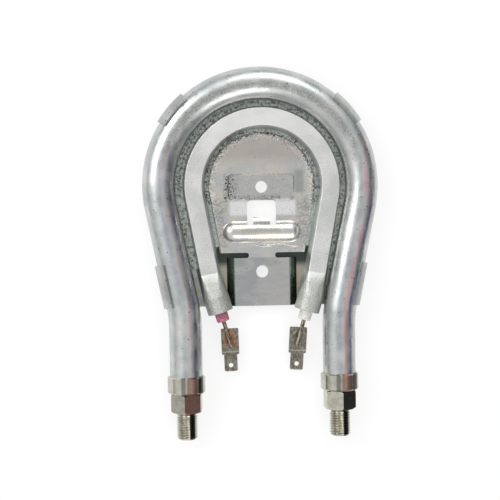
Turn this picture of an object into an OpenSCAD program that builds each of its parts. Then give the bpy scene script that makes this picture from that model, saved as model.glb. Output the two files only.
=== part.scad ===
// Flow-through water heater: a bent aluminium water tube with a tubular heating element
// brazed inside its bend, a stamped carrier sheet, a pressed sensor plate and two fittings.
// It lies on its carrier sheet, with +Z up, +Y towards the bend and the origin on the
// floor under the middle of the whole part.

/* [Water tube] */
// Outside diameter of the water tube
tube_d = 15.6; // [14:0.1:17]
// Wall of the water tube
tube_wall = 1.5; // [1:0.1:2]
// Radius of the big bend, to the tube's centreline
bend_r = 48.3; // [46:0.1:56]
// Angle by which the straight legs converge
leg_lean = 11.42; // [9:0.01:13]
// Length of each converging leg
leg_len = 47.9; // [42:0.1:56]
// Radius of the soft elbow that turns each leg parallel
elbow_r = 56; // [40:1:80]
// Parallel length from the elbow to the collar
tail_len = 22.5; // [18:0.5:40]

/* [Heating element] */
// Outside diameter of the sheath at its round ends
sheath_d = 12.3; // [11.5:0.1:13]
// Wall of the sheath
sheath_wall = 0.9; // [0.6:0.05:1.2]
// Width of the pressed flat face
flat_w = 8.3; // [7:0.1:9]
// Height of the pressed section
flat_h = 8.6; // [7.5:0.1:9.5]
// Radius of the element's bend, to the middle of its section
heater_r = 32.8; // [31.5:0.1:34]
// Angle by which the element's legs converge
heater_lean = 10.34; // [9:0.01:12]
// Pressed length of each leg below the bend
press_len = 36.6; // [34:0.1:40]
// Length from the end of the pressed face to the kink
kink_len = 3.4; // [2:0.1:6]
// Length from the kink to the full round section
run_len = 8; // [5:0.1:12]
// Length of the full round end
round_len = 7.5; // [5:0.1:12]
// Lean of the element's ends
end_lean = 16.54; // [13:0.01:20]
// How far the element sits to the right of the tube's middle, as brazed
heater_shift = 0.8; // [-1:0.1:1]
// Diameter of the terminal pins
pin_d = 2; // [1.6:0.1:2.6]
// Length of pin outside the sheath
pin_out = 17.9; // [14:0.1:24]
// Outside diameter of the wound resistance wire
coil_d = 4; // [3:0.1:4.6]
// Diameter of the resistance wire
wire_d = 0.7; // [0.4:0.05:1]
// Distance from one turn of the wire to the next
coil_pitch = 4; // [3:0.5:8]

/* [End beads] */
// Diameter of the ceramic beads
bead_d = 6.2; // [5:0.1:7]
// Length of bead that shows
bead_out = 4.8; // [3:0.1:7]
// Length of bead inside the sheath's end
bead_in = 2.2; // [1.5:0.1:3]

/* [Terminal tabs] */
// Thickness of the tabs
tab_t = 0.8; // [0.8:0.1:1]
// Width of the part welded to the pin
weld_w = 8.4; // [7.5:0.1:10]
// Length of the part welded to the pin
weld_len = 12.6; // [11:0.1:16]
// Width of the push-on blade
blade_w = 6.3; // [4.8:0.1:6.5]
// Length of the push-on blade
blade_len = 8.2; // [7:0.1:10]
// Diameter of the detent hole in the blade
detent_d = 2.2; // [1.5:0.1:2.6]
// Length of tab above the pin's tip
tab_lap = 9; // [7:0.1:10]
// Distance from the pin's tip to the tab's middle line
tab_off = 0.65; // [0:0.05:1]
// Lean of the left tab
tab_lean_left = 1.7; // [-4:0.1:6]
// Lean of the right tab
tab_lean_right = 3.8; // [-4:0.1:6]

/* [Carrier sheet] */
// Thickness of the carrier sheet
sheet_t = 1.2; // [1.2:0.1:2]
// Distance from the bend's centre to the carrier's lower edge
carrier_reach = 58; // [56:0.5:62]
// Angle of the middle of each upper lug above the horizontal
lug_angle = 41; // [30:1:50]
// Length of the upper lugs along the tube
lug_top_len = 14.5; // [10:0.5:20]
// Start of the lower lugs along the leg
lug_start = 27; // [22:0.5:27]
// Length of the lower lugs along the leg
lug_leg_len = 20.5; // [12:0.5:20.5]
// Angle by which the lugs wrap above the tube's widest line
lug_wrap = 56; // [40:1:65]

/* [Sensor plate] */
// Thickness of the pressed plate
plate_t = 1; // [0.8:0.1:1.2]
// Height of the plate's face above the carrier sheet
dish_h = 3.2; // [2.8:0.1:4]
// Outside radius of the bend round the plate's edge
rim_bend = 2; // [1.5:0.1:2.6]
// Gap between the plate's edge and the element's foot
rim_gap = 0.3; // [0.1:0.05:0.6]
// Sideways place of the pad hole
pad_x = 0.6; // [-1:0.1:1]
// Distance of the pad hole below the bend's centre
pad_drop = 0.7; // [0:0.1:2]
// Diameter of the pad hole
pad_hole_d = 5.6; // [4:0.1:7]
// Width of the raised pad
pad_w = 30.6; // [24:0.2:34]
// Height of the raised pad in plan
pad_len = 11.2; // [9:0.2:11.6]
// How far the pad is raised
pad_raise = 0.8; // [0.4:0.1:0.9]
// Width of the window
window_w = 13.8; // [12:0.2:16]
// Depth of the window's reliefs, from the pad hole
relief_y = 18.4; // [18:0.1:19]
// Width of the finger in the window
finger_w = 8; // [6:0.1:9]
// Radius of the half-round bead
bead_r = 5.55; // [5.2:0.05:6]
// Height of the half-round bead above the plate
bead_h = 3.6; // [3:0.1:4.2]
// Distance of the bead's middle line below the pad hole
bead_y = 21.5; // [21:0.1:22]
// Straight length of the half-round bead
bead_len = 27.2; // [20:0.2:29]
// Distance of the slots below the pad hole
slot_y = 31.5; // [31:0.1:33]
// Width of the slots
slot_w = 2.5; // [2:0.1:3.5]
// Width of the neck between the slots
neck_w = 12.6; // [10:0.2:16]
// Width of the lower channel's face
channel_w = 26.9; // [24:0.1:28]
// Width that each flank of the channel covers
flank_w = 3.4; // [2.8:0.1:4]
// Length of the lower channel
channel_len = 23.1; // [20:0.1:23.5]
// Diameter of the lower hole
low_hole_d = 5.8; // [4:0.1:7]
// Distance from the pad hole to the lower hole
hole_pitch = 40.6; // [40:0.1:44]

/* [Collars and fittings] */
// Outside diameter of the crimped collars
collar_d = 18; // [17.4:0.1:19]
// Length of the collars
collar_len = 8.3; // [7:0.1:12]
// Thickness of the collars' end wall
collar_end = 1; // [0.8:0.1:1.5]
// Width across the hexagon's flats
hex_af = 14; // [13:0.1:15]
// Length of the hexagon
hex_len = 9.1; // [6:0.1:12]
// Turn of the left hexagon about its own axis
hex_turn_left = -9.8; // [-30:0.1:30]
// Turn of the right hexagon about its own axis
hex_turn_right = 13.7; // [-30:0.1:30]
// Diameter of the outside thread
thread_d = 10; // [9:0.1:11]
// Length from the hexagon to the thread's end
thread_len = 13; // [9:0.1:18]
// Diameter of the water way through the fittings
bore_d = 6; // [4:0.1:7]
// Diameter of the neck that passes the collar's end wall
neck_d = 11; // [10.6:0.1:11.4]
// Length of spigot inside the tube, from the collar's upper edge
spigot_len = 4; // [2:0.1:8]
// Cord of the rubber seal rings
seal_cord = 1.5; // [1.2:0.1:1.8]

/* [Hidden] */

$fn = 72;
seat = 0.05;        // clearance between pieces that sit against each other
over = 1;           // how far a cutting shape runs past what it cuts
corner_steps = 4;   // straight steps in each rounded corner of a section
round_fn = 40;      // sides of a round section that is swept
trim = 200;         // size of the blocks that cut a ring down to a bend
bite = 0.2;         // length by which a straight tail reaches into its elbow
fuller = 0.003;     // how much fuller than its elbow a straight tail is
slice = 0.02;       // thickness of the end slices of a blended shape

lug_t = sheet_t - 0.02;
tube_r = tube_d / 2;
tube_bore_r = tube_r - tube_wall;
collar_r = collar_d / 2;
sheath_r = sheath_d / 2;
base_w = sheath_d;

// Heights above the floor
tube_z = max(sheet_t + seat + tube_r, collar_r);
heater_z = sheet_t + seat;
end_z = heater_z + sheath_r;
coil_z = heater_z + flat_h / 2;
face_z = sheet_t + dish_h;
pad_z = face_z + pad_raise;
tab_z = end_z - pin_d / 2 - seat - tab_t;

// Places seen from above, from the centre of the bend
leg_x = bend_r * cos(leg_lean) - leg_len * sin(leg_lean) - elbow_r * (1 - cos(leg_lean));
tail_y = bend_r * sin(leg_lean) + leg_len * cos(leg_lean) + elbow_r * sin(leg_lean) + tail_len;
leg_reach = tail_y + collar_len + hex_len + thread_len;
bend_y = (leg_reach - bend_r - tube_r) / 2;

// Distances along the element's leg
kink_at = press_len + kink_len;
end_at = run_len + round_len;
coil_end = press_len - 6;

// Sensor plate
rim_r = heater_r - base_w / 2 - rim_gap;
bead_sink = bead_r - bead_h;
window_top = pad_len / 2 + pad_raise;
face_end = slot_y + slot_w;

function unit(v) = v / norm(v);

// Points of an arc that rounds the corner p, between the points a and b before and after it
function corner(a, p, b, r) =
    r <= 0 ? [p] :
    let (u = unit(a - p), v = unit(b - p), half = acos(u * v) / 2)
    let (c = p + unit(u + v) * r / sin(half), s = p + u * r / tan(half), e = p + v * r / tan(half))
    let (from = atan2(s.y - c.y, s.x - c.x), to = atan2(e.y - c.y, e.x - c.x))
    let (turn = (to - from + 540) % 360 - 180)
    [for (i = [0 : corner_steps]) c + r * [cos(from + turn * i / corner_steps), sin(from + turn * i / corner_steps)]];

// A closed outline with its corners rounded
function rounded(pts, radii) =
    let (n = len(pts))
    [for (i = [0 : n - 1]) each corner(pts[(i + n - 1) % n], pts[i], pts[(i + 1) % n], radii[i])];

function rounded_box(w, h, r) =
    rounded([[-w / 2, -h / 2], [w / 2, -h / 2], [w / 2, h / 2], [-w / 2, h / 2]], [r, r, r, r]);

// Frames that the pieces share

module at_tube() translate([0, bend_y, tube_z]) children();

module at_heater() translate([heater_shift, bend_y, heater_z]) children();

module at_pad() translate([pad_x, bend_y - pad_drop, 0]) children();

// A frame at the start of one leg: x points outward and -y points down the leg
module on_leg(r, lean, side)
    mirror([side < 0 ? 1 : 0, 0, 0]) rotate([0, 0, -lean]) translate([r, 0, 0]) children();

module on_both_legs(r, lean)
    for (side = [-1, 1]) on_leg(r, lean, side) children();

// Sweeps a section round the bend; its x points outward and its y points up
module round_bend(r, lean)
    difference() {
        rotate([0, 0, -90 - lean]) rotate_extrude() translate([r, 0]) children();
        on_both_legs(0, lean) translate([0, -trim, -trim / 2]) cube(trim);
    }

// Extrudes a section down a leg
module down_leg(from, to)
    translate([0, -from, 0]) rotate([90, 0, 0]) linear_extrude(to - from) children();

// A frame at the kink of the element's leg, turned to the lean of its end
module at_kink() translate([0, -kink_at, 0]) rotate([0, 0, heater_lean - end_lean]) children();

// A frame at the upper edge of a collar: z points out of the tube's end
module at_leg_end(side)
    translate([side * leg_x, bend_y - tail_y, tube_z]) rotate([90, 0, 0]) children();

// Water tube

// A frame at the centre of one elbow
module at_elbow() translate([elbow_r, -leg_len, 0]) children();

module elbow(r)
    difference() {
        at_elbow() rotate_extrude() translate([elbow_r, 0]) circle(r, $fn = round_fn);
        at_elbow() translate([-trim / 2, 0, -trim / 2]) cube(trim);
        at_elbow() rotate([0, 0, leg_lean]) translate([-trim / 2, -trim, -trim / 2]) cube(trim);
    }

module tube_path(r, tail)
{
    round_bend(bend_r, leg_lean) circle(r, $fn = round_fn);
    on_both_legs(bend_r, leg_lean) {
        down_leg(0, leg_len) circle(r, $fn = round_fn);
        elbow(r);
        at_elbow() rotate([0, 0, leg_lean]) translate([-elbow_r, 0, 0])
            down_leg(-bite, tail_len + tail) circle(r + fuller, $fn = round_fn);
    }
}

module water_tube() color("gainsboro")
    at_tube() difference() {
        tube_path(tube_r, collar_len - collar_end - seat);
        tube_path(tube_bore_r, collar_len + over);
    }

// Heating element

// The pressed section, inset by a wall
module pressed_section(inset)
{
    flank = (base_w - flat_w) / 2 / flat_h;
    side_inset = inset * norm([1, flank]);
    foot = base_w / 2 - flank * inset - side_inset;
    head = base_w / 2 - flank * (flat_h - inset) - side_inset;
    polygon(rounded(
        [[-foot, inset], [foot, inset], [head, flat_h - inset], [-head, flat_h - inset]],
        [max(2 - inset, 0.5), max(2 - inset, 0.5), 0.5, 0.5]));
}

module element_body(inset, tail)
{
    round_bend(heater_r, heater_lean) pressed_section(inset);
    on_both_legs(heater_r, heater_lean) {
        down_leg(0, press_len) pressed_section(inset);
        hull() {
            down_leg(press_len - slice, press_len) pressed_section(inset + slice);
            at_kink() down_leg(run_len, run_len + slice) translate([0, sheath_r])
                circle(sheath_r - inset - slice, $fn = 32);
        }
        at_kink() down_leg(run_len, end_at - tail) translate([0, sheath_r]) circle(sheath_r - inset);
    }
}

module heater_sheath() color("silver")
    at_heater() difference() {
        element_body(0, 0);
        element_body(sheath_wall, bead_in);
        on_both_legs(heater_r, heater_lean) at_kink() down_leg(end_at - bead_in - over, end_at + over)
            translate([0, sheath_r]) circle(bead_d / 2 + seat);
    }

// Points on the middle line of one element leg, before and after the kink
function leg_point(along) =
    [heater_r * cos(heater_lean) - along * sin(heater_lean),
     -heater_r * sin(heater_lean) - along * cos(heater_lean)];
function end_point(along) = leg_point(kink_at) - along * [sin(end_lean), cos(end_lean)];

// A straight rod between two points
module rod(p, q, d)
    let (v = q - p)
    translate(p) rotate([0, acos(v.z / norm(v)), atan2(v.y, v.x)]) cylinder(d = d, h = norm(v));

// The terminal pin of the right leg; grow widens it for the hole that it passes
module pin_path(grow)
{
    inner = [leg_point(coil_end).x, leg_point(coil_end).y, coil_z];
    bend = [end_point(run_len).x, end_point(run_len).y, end_z];
    tip = [end_point(end_at + pin_out).x, end_point(end_at + pin_out).y, end_z];
    rod(inner, bend, pin_d + 2 * grow);
    translate(bend) sphere(d = pin_d + 2 * grow + 0.2);
    rod(bend, tip, pin_d + 2 * grow);
}

module cold_pin(side) color("dimgray")
    translate([heater_shift, bend_y, 0]) mirror([side < 0 ? 1 : 0, 0, 0]) pin_path(0);

module magnesia_fill() color("whitesmoke")
    difference() {
        at_heater() element_body(sheath_wall + seat, bead_in + seat);
        translate([heater_shift, bend_y, coil_z]) {
            round_bend(heater_r, heater_lean) circle(coil_d / 2 + seat);
            on_both_legs(heater_r, heater_lean) down_leg(0, coil_end + seat) circle(coil_d / 2 + seat);
        }
        for (side = [-1, 1])
            translate([heater_shift, bend_y, 0]) mirror([side < 0 ? 1 : 0, 0, 0]) pin_path(seat);
    }

// A point on the element's middle line and its outward direction, from one coil end to the other
function middle_line(s) =
    let (arc = heater_r * (180 + 2 * heater_lean) * PI / 180, on_arc = s - coil_end)
    on_arc < 0 ? [leg_point(-on_arc), [cos(heater_lean), -sin(heater_lean)]] :
    on_arc > arc ? let (p = leg_point(on_arc - arc)) [[-p.x, p.y], [-cos(heater_lean), -sin(heater_lean)]] :
    let (a = on_arc / arc * (180 + 2 * heater_lean) - heater_lean) [heater_r * [cos(a), sin(a)], [cos(a), sin(a)]];

coil_run = 2 * coil_end + heater_r * (180 + 2 * heater_lean) * PI / 180;

module heating_coil() color("sienna")
{
    turn_steps = 10;
    sides = 4;
    rings = round(coil_run / coil_pitch) * turn_steps;
    helix_r = (coil_d - wire_d) / 2;
    pts = [for (i = [0 : rings], k = [0 : sides - 1])
        let (m = middle_line(seat + i / rings * (coil_run - 2 * seat)), a = i * 360 / turn_steps, b = k * 360 / sides)
        let (out = helix_r + wire_d / 2 * cos(b))
        let (tangent = [-m[1].y, m[1].x])
        let (flat = m[0] + m[1] * out * cos(a) + tangent * wire_d / 2 * sin(b))
        [flat.x, flat.y, out * sin(a)]];
    faces = concat(
        [[for (k = [0 : sides - 1]) k]],
        [for (i = [0 : rings - 1], k = [0 : sides - 1])
            [i * sides + k, (i + 1) * sides + k, (i + 1) * sides + (k + 1) % sides]],
        [for (i = [0 : rings - 1], k = [0 : sides - 1])
            [i * sides + k, (i + 1) * sides + (k + 1) % sides, i * sides + (k + 1) % sides]],
        [[for (k = [sides - 1 : -1 : 0]) rings * sides + k]]);
    translate([heater_shift, bend_y, coil_z]) polyhedron(pts, faces);
}

module end_bead(side) color(side < 0 ? "palevioletred" : "beige")
    at_heater() on_leg(heater_r, heater_lean, side) at_kink()
        translate([0, -end_at + bead_in, sheath_r]) rotate([90, 0, 0]) difference() {
            rotate_extrude() polygon(rounded(
                [[0, 0], [bead_d / 2, 0], [bead_d / 2, bead_in + bead_out], [0, bead_in + bead_out]],
                [0, 0.3, 0.8, 0]));
            translate([0, 0, -over]) cylinder(d = pin_d + 2 * seat, h = bead_in + bead_out + 2 * over);
        }

// Terminal tabs

// The tab seen from the side: a flat part, a small step and the blade
module tab_profile()
{
    step = 0.35;
    step_at = weld_len - 1.6;
    run = 0.7;
    tip = weld_len + blade_len;
    bevel = 0.25;
    polygon([
        [0, 0], [0, tab_t], [step_at, tab_t], [step_at + run, tab_t - step], [tip - 2 * bevel, tab_t - step],
        [tip, tab_t - step - bevel], [tip, bevel - step], [tip - 2 * bevel, -step], [step_at + run, -step],
        [step_at, 0]]);
}

module terminal_tab(side)
{
    lean = side < 0 ? tab_lean_left : tab_lean_right;
    tip = end_point(end_at + pin_out);
    dimple_d = 6;
    dimple_h = 0.4;
    dimple_r = (pow(dimple_d / 2, 2) + dimple_h * dimple_h) / 2 / dimple_h;
    dimple_at = 4.6;
    color("darkgray") translate([heater_shift, bend_y, tab_z]) mirror([side < 0 ? 1 : 0, 0, 0])
        translate([tip.x + tab_off, tip.y, 0]) rotate([0, 0, -lean]) translate([0, tab_lap, 0]) difference() {
            union() {
                intersection() {
                    rotate([0, 0, -90]) rotate([90, 0, 0]) linear_extrude(weld_w, center = true) tab_profile();
                    translate([0, 0, -over]) linear_extrude(2 * over + tab_t) {
                        translate([0, -weld_len / 2]) polygon(rounded_box(weld_w, weld_len, 0.5));
                        translate([0, -weld_len - blade_len / 2]) polygon(rounded(
                            [[-blade_w / 2, -blade_len / 2], [blade_w / 2, -blade_len / 2],
                             [blade_w / 2, blade_len / 2 + 1], [-blade_w / 2, blade_len / 2 + 1]], [0.8, 0.8, 0, 0]));
                    }
                }
                translate([0, -dimple_at, 0]) intersection() {
                    translate([0, 0, dimple_r + tab_t - dimple_h - 0.4]) sphere(dimple_r);
                    translate([0, 0, -over]) cylinder(d = dimple_d, h = over + tab_t / 2);
                }
            }
            translate([0, -dimple_at, dimple_r + tab_t - dimple_h]) sphere(dimple_r);
            translate([0, -weld_len - blade_len + 3, -over]) cylinder(d = detent_d, h = tab_t + 2 * over);
        }
}

// Carrier sheet

// A strip that leaves the sheet and wraps the tube from below to above its widest line
module lug_section()
{
    outer = sheet_t + seat + tube_r;
    reach = 2 * outer;
    root = 1.5;
    translate([0, outer]) intersection() {
        difference() {
            circle(outer);
            circle(outer - lug_t);
        }
        polygon([[0, 0], [0, -reach], [reach, -reach], [reach, 0], 2 * reach * [cos(lug_wrap), sin(lug_wrap)]]);
    }
    translate([-root, 0]) square([root, lug_t]);
}

module upper_lug()
{
    half = lug_top_len / bend_r / 2 * 180 / PI;
    rotate([0, 0, lug_angle - half]) rotate_extrude(angle = 2 * half) translate([bend_r, 0]) lug_section();
}

// The sheet ends under the tube, a little inside the line where the lugs turn up
module carrier_outline()
{
    edge_r = bend_r - 0.5;
    wide = edge_r - tube_r;
    difference() {
        union() {
            rotate([0, 0, -90 - leg_lean]) circle(edge_r);
            on_both_legs(edge_r, leg_lean) translate([-wide, -carrier_reach]) square([wide, carrier_reach]);
        }
        translate([-trim / 2, -carrier_reach - trim]) square(trim);
    }
}

// Openings behind the pad and window, and behind the lower hole
module carrier_openings()
{
    top = pad_len / 2 + 6.4;
    bottom = bead_y + bead_r;
    low_w = low_hole_d + 9;
    translate([0, (top - bottom) / 2]) polygon(rounded_box(pad_w, top + bottom, 5));
    translate([0, -hole_pitch - 1]) polygon(rounded_box(low_w, low_w - 2, 4));
}

module carrier_plate() color("lightgray")
{
    difference() {
        translate([0, bend_y, 0]) linear_extrude(sheet_t) carrier_outline();
        at_pad() translate([0, 0, -over]) linear_extrude(sheet_t + 2 * over) carrier_openings();
    }
    translate([0, bend_y, 0]) {
        upper_lug();
        mirror([1, 0, 0]) upper_lug();
        on_both_legs(bend_r, leg_lean) down_leg(lug_start, lug_start + lug_leg_len) lug_section();
    }
}

// Sensor plate

// Half of the dish's section, filled; inset by the sheet it is what lies under the face
module dish_section(inset, foot)
{
    edge = rim_r - inset;
    polygon(rounded([[0, foot], [edge, foot], [edge, dish_h - inset], [0, dish_h - inset]], [0, 0, rim_bend - inset, 0]));
}

module dish_body(inset, foot)
    translate([heater_shift, bend_y, sheet_t]) {
        round_bend(0, heater_lean) dish_section(inset, foot);
        on_both_legs(0, heater_lean) down_leg(0, rim_r * 2) dish_section(inset, foot);
    }

// The raised pad as a low block with sloping sides, given its top
module pad_block(w, l, top)
{
    base = pad_raise + 0.1;
    hull() {
        translate([0, 0, top - base]) linear_extrude(slice) polygon(rounded_box(w + 2 * base, l + 2 * base, 2.2));
        translate([0, 0, top - slice]) linear_extrude(slice) polygon(rounded_box(w, l, 1.5));
    }
}

// A round-ended bar along X
module round_bar(r)
{
    rotate([0, 90, 0]) cylinder(r = r, h = bead_len, center = true);
    for (end = [-1, 1]) translate([end * bead_len / 2, 0, 0]) sphere(r);
}

module window_cut()
{
    finger_root = relief_y - 1.2;
    corner_r = 2;
    relief_w = (window_w - finger_w) / 2;
    translate([0, 0, -over]) linear_extrude(face_z + bead_h + 2 * over) {
        polygon(rounded(
            [[-window_w / 2, -finger_root], [window_w / 2, -finger_root], [window_w / 2, -window_top],
             [-window_w / 2, -window_top]], [0, 0, corner_r, corner_r]));
        for (side = [-1, 1]) translate([side * (window_w - relief_w) / 2, -(relief_y + finger_root - 1) / 2])
            polygon(rounded_box(relief_w, relief_y - finger_root + 1, 0.9));
    }
}

// The finger that curves out of the bead's wall into the window
module window_finger()
{
    root = relief_y - 1.2;
    over_root = bead_y - root;
    slope = atan2(over_root, sqrt(bead_r * bead_r - over_root * over_root));
    root_z = sqrt(bead_r * bead_r - over_root * over_root) - bead_sink;
    flare_r = 4.8;
    tip_slope = 10;
    thin = plate_t - 0.1;
    steps = 8;
    centre = [-root + flare_r * sin(slope), root_z + flare_r * cos(slope) - 0.05];
    arc = [for (i = [-1 : steps]) slope + (tip_slope - slope) * i / steps];
    tip_cut = 7;
    difference() {
        translate([0, 0, face_z]) rotate([90, 0, 90]) linear_extrude(finger_w, center = true) polygon(concat(
            [for (a = arc) centre + flare_r * [-sin(a), -cos(a)]],
            [for (i = [len(arc) - 1 : -1 : 0]) centre + (flare_r + thin) * [-sin(arc[i]), -cos(arc[i])]]));
        translate([0, centre[0] - flare_r * sin(tip_slope) - 0.5, face_z]) rotate([0, 0, -tip_cut])
            translate([-window_w, 0, -2 * bead_r]) cube([2 * window_w, bead_r, 4 * bead_r]);
    }
}

module slot_cuts()
{
    for (side = [-1, 1]) translate([side * (neck_w / 2 + rim_r / 2), -slot_y - slot_w / 2, sheet_t - over])
        linear_extrude(dish_h + 2 * over) polygon(rounded_box(rim_r, slot_w, slot_w / 2 - 0.1));
}

module channel_profile()
{
    slope = atan2(dish_h, flank_w);
    side_t = plate_t / sin(slope);
    half = channel_w / 2;
    foot = half + flank_w;
    inner = foot - (dish_h - plate_t) / tan(slope) - side_t;
    polygon(rounded(
        [[foot, 0], [half, dish_h], [-half, dish_h], [-foot, 0], [side_t - foot, 0], [-inner, dish_h - plate_t],
         [inner, dish_h - plate_t], [foot - side_t, 0]],
        [0, 1.6, 1.6, 0, 0, 0.8, 0.8, 0]));
}

module sensor_plate() color("whitesmoke")
{
    difference() {
        union() {
            dish_body(0, 0);
            at_pad() pad_block(pad_w, pad_len, pad_z);
            at_pad() translate([0, -bead_y, face_z - bead_sink]) intersection() {
                round_bar(bead_r);
                translate([0, 0, bead_sink - plate_t / 2 + bead_r]) cube(
                    [2 * rim_r, 4 * bead_r, 2 * bead_r], center = true);
            }
        }
        dish_body(plate_t, -over);
        at_pad() {
            pad_block(pad_w - plate_t, pad_len - plate_t, pad_z - plate_t);
            translate([0, -bead_y, face_z - bead_sink]) round_bar(bead_r - plate_t);
            translate([0, 0, -over]) cylinder(d = pad_hole_d, h = pad_z + 2 * over);
            window_cut();
            slot_cuts();
            translate([-2 * rim_r, -face_end - 2 * rim_r, -over]) cube([4 * rim_r, 2 * rim_r, face_z + bead_r + over]);
        }
    }
    at_pad() {
        window_finger();
        difference() {
            translate([0, -face_end, sheet_t]) rotate([90, 0, 0]) linear_extrude(channel_len) channel_profile();
            translate([0, -hole_pitch, -over]) cylinder(d = low_hole_d, h = face_z + 2 * over);
        }
    }
}

// Braze

// Fills the valley between the tube and the element
module outer_braze() color("darkgray")
{
    fill_h = 5.2;
    outer = bend_r - tube_r / 2;
    inner = heater_r + base_w / 4;
    run = press_len - 4;
    difference() {
        translate([0, bend_y, sheet_t]) {
            round_bend(0, leg_lean) translate([inner, 0]) square([outer - inner, fill_h]);
            on_both_legs(0, leg_lean) down_leg(0, run) translate([inner, 0]) square([outer - inner, fill_h]);
        }
        at_tube() tube_path(tube_r + seat, 0);
        at_heater() element_body(-seat, 0);
    }
}

// The groove between the element and the sensor plate
module groove_section()
{
    fill_h = dish_h - 0.4;
    outer = heater_r - base_w / 4;
    inner = rim_r - rim_bend;
    difference() {
        translate([inner, 0]) square([outer - inner, fill_h]);
        dish_section(-seat, -over);
        translate([heater_r, seat]) pressed_section(-seat);
    }
}

module inner_braze() color("darkgray")
    translate([heater_shift, bend_y, sheet_t]) {
        round_bend(0, heater_lean) groove_section();
        on_both_legs(0, heater_lean) down_leg(0, slot_y - rim_r * sin(heater_lean) - 2) groove_section();
    }

// Collars and fittings

module collar(side) color("tan")
    at_leg_end(side) difference() {
        rotate_extrude() polygon([
            [0, 0], [collar_r - 0.8, 0], [collar_r, 0.6], [collar_r, collar_len - 0.8],
            [collar_r - 0.9, collar_len], [0, collar_len]]);
        translate([0, 0, -over]) cylinder(r = tube_r + seat, h = collar_len - collar_end + over);
        cylinder(d = neck_d + 2 * seat, h = collar_len + over);
    }

module hexagon(turn)
{
    across = hex_af / cos(30);
    chamfer = (across - hex_af) / 2;
    intersection() {
        rotate([0, 0, 90 + turn]) cylinder(d = across, h = hex_len, $fn = 6);
        rotate_extrude() polygon([
            [0, 0], [hex_af / 2, 0], [across / 2, chamfer * 0.8], [across / 2, hex_len - chamfer * 0.8],
            [hex_af / 2, hex_len], [0, hex_len]]);
    }
}

module fitting(side, turn) color("darkkhaki")
{
    spigot_r = tube_bore_r - seat;
    groove_r = tube_bore_r - seal_cord - seat;
    shoulder = collar_len - collar_end - seat;
    groove_at = 0.8;
    groove_len = seal_cord + 0.4;
    end_a = collar_len + hex_len + thread_len;
    thread_r = thread_d / 2;
    relief_r = thread_r - 0.8;
    taper_r = hex_af / 2 - 1;
    lead = 1;
    at_leg_end(side) difference() {
        union() {
            rotate_extrude() polygon([
                [0, -spigot_len], [spigot_r - 0.5, -spigot_len], [spigot_r, 0.5 - spigot_len], [spigot_r, groove_at],
                [groove_r, groove_at], [groove_r, groove_at + groove_len], [spigot_r, groove_at + groove_len],
                [spigot_r, shoulder], [neck_d / 2, shoulder], [neck_d / 2, collar_len + 0.1],
                [0, collar_len + 0.1]]);
            translate([0, 0, collar_len + seat]) hexagon(turn);
            rotate_extrude() polygon([
                [0, collar_len + hex_len - 0.1], [taper_r, collar_len + hex_len - 0.1],
                [taper_r, collar_len + hex_len + 0.2], [relief_r, collar_len + hex_len + 1.2],
                [thread_r, collar_len + hex_len + 2], [thread_r, end_a - lead], [thread_r - lead, end_a], [0, end_a]]);
        }
        translate([0, 0, -spigot_len - over]) cylinder(d = bore_d, h = end_a + spigot_len + 2 * over);
    }
}

module seal_ring(side) color("dimgray")
    at_leg_end(side) translate([0, 0, 1 + seal_cord / 2])
        rotate_extrude() translate([tube_bore_r - seal_cord / 2 - seat / 2, 0]) circle(d = seal_cord, $fn = 24);

water_tube();
heater_sheath();
magnesia_fill();
heating_coil();
cold_pin(-1);  // cold_pin_left
cold_pin(1);  // cold_pin_right
end_bead(-1);  // end_bead_left
end_bead(1);  // end_bead_right
terminal_tab(-1);  // terminal_tab_left
terminal_tab(1);  // terminal_tab_right
carrier_plate();
sensor_plate();
outer_braze();
inner_braze();
collar(-1);  // collar_left
collar(1);  // collar_right
fitting(-1, hex_turn_left);  // inlet_fitting
fitting(1, hex_turn_right);  // outlet_fitting
seal_ring(-1);  // seal_ring_left
seal_ring(1);  // seal_ring_right
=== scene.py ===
"""Looks of the flow-through water heater.

The frame's solids carry most of the shape. This script adds the threads, the flux grains and
the pressing creases, and gives each surface its finish. Sizes are in millimetres, and MM
turns them into metres.
"""
import math
import random

import bpy
from mathutils import Matrix, Vector


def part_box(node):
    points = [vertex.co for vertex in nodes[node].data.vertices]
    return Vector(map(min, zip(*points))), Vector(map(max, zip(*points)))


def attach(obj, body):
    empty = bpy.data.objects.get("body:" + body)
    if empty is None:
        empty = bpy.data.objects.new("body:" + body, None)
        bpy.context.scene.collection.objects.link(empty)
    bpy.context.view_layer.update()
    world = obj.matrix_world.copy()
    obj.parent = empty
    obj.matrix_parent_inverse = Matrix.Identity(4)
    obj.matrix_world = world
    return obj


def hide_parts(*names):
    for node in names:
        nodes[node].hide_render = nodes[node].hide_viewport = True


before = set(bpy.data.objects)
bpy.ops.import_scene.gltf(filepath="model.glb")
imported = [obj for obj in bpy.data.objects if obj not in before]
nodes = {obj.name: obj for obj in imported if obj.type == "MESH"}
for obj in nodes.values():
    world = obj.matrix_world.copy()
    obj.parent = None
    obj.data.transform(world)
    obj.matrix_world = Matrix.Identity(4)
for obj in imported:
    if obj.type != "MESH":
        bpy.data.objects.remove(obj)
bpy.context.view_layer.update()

MM = 0.001
BODY = "root"

# Driving sizes that the finishes and small pieces share with the solids
TUBE_R = 7.8
BEND_R = 48.3
LEG_LEAN = math.radians(11.42)
HEATER_R = 32.8
HEATER_LEAN = math.radians(10.34)
HEATER_X = 0.8
HEATER_TOP = 9.85
PAD_X = 0.6
PAD_HALF_W = 15.3
PAD_HALF_L = 5.6
PAD_Z = 5.2
FACE_Z = 4.4
BEAD_DROP = 21.5
CHANNEL_HALF = 13.45
END_LEAN = math.radians(16.54)
HEX_TURN = {"inlet_fitting": 7.6, "outlet_fitting": -5.1}

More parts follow.
